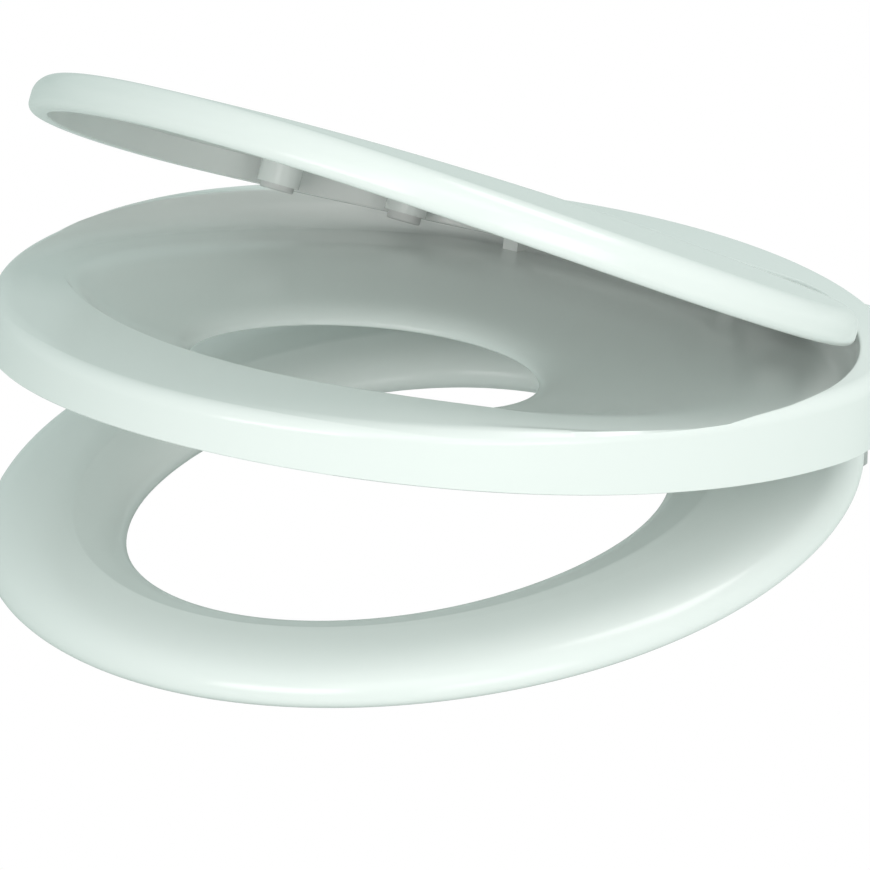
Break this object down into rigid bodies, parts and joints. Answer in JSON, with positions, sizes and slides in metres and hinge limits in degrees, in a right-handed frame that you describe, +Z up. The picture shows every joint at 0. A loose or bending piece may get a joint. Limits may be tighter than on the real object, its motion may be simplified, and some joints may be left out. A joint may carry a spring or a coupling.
{
  "type": "toilet seat",
  "caption": "Glossy white family toilet seat: an adult ring, a dished child seat raised above it and a thick domed lid, on a post hinge with pan fixings.",
  "frame": {"origin": "midway between the two fixing studs, on the pan's deck under the hinge gaskets", "axes": "+Z up from the pan, -Y towards the front of the seat, X along the hinge axis"},
  "size_m": [0.3782, 0.484, 0.2925],
  "materials": {
    "seat_plastic": "gloss",
    "hinge_plastic": "satin",
    "plain_plastic": "matte",
    "rubber": "matte",
    "steel": "satin"
  },
  "bodies": {
    "hinge_base": {"left_base_gasket": "rubber", "left_cone_washer": "rubber", "left_fixing_stud": "steel", "left_hinge_pin": "steel", "left_hinge_post": "hinge_plastic", "left_post_cap": "hinge_plastic", "left_wing_nut": "plain_plastic", "right_base_gasket": "rubber", "right_cone_washer": "rubber", "right_fixing_stud": "steel", "right_hinge_pin": "steel", "right_hinge_post": "hinge_plastic", "right_post_cap": "hinge_plastic", "right_wing_nut": "plain_plastic"},
    "adult_seat": {"adult_seat": "seat_plastic", "left_front_seat_buffer": "rubber", "left_rear_seat_buffer": "rubber", "left_seat_bush": "plain_plastic", "right_front_seat_buffer": "rubber", "right_rear_seat_buffer": "rubber", "right_seat_bush": "plain_plastic"},
    "child_seat": {"child_seat": "seat_plastic", "left_child_bush": "plain_plastic", "left_front_child_buffer": "rubber", "left_rear_child_buffer": "rubber", "right_child_bush": "plain_plastic", "right_front_child_buffer": "rubber", "right_rear_child_buffer": "rubber"},
    "lid": {"left_lid_pin": "steel", "left_rear_lid_buffer": "rubber", "left_side_lid_buffer": "rubber", "lid": "seat_plastic", "right_lid_pin": "steel", "right_rear_lid_buffer": "rubber", "right_side_lid_buffer": "rubber"}
  },
  "joints": [
    {"name": "adult_seat_hinge", "type": "hinge", "parent": "hinge_base", "child": "adult_seat", "pos_m": [0, 0, 0.024], "axis": [-1, 0, 0], "range_deg": [0, 90]},
    {"name": "child_seat_hinge", "type": "hinge", "parent": "adult_seat", "child": "child_seat", "pos_m": [0, 0, 0.024], "axis": [-1, 0, 0], "range_deg": [-10.9, 72]},
    {"name": "lid_hinge", "type": "hinge", "parent": "child_seat", "child": "lid", "pos_m": [0, -0.08497, 0.07244], "axis": [-1, 0, 0], "range_deg": [-14.1, 68]}
  ]
}
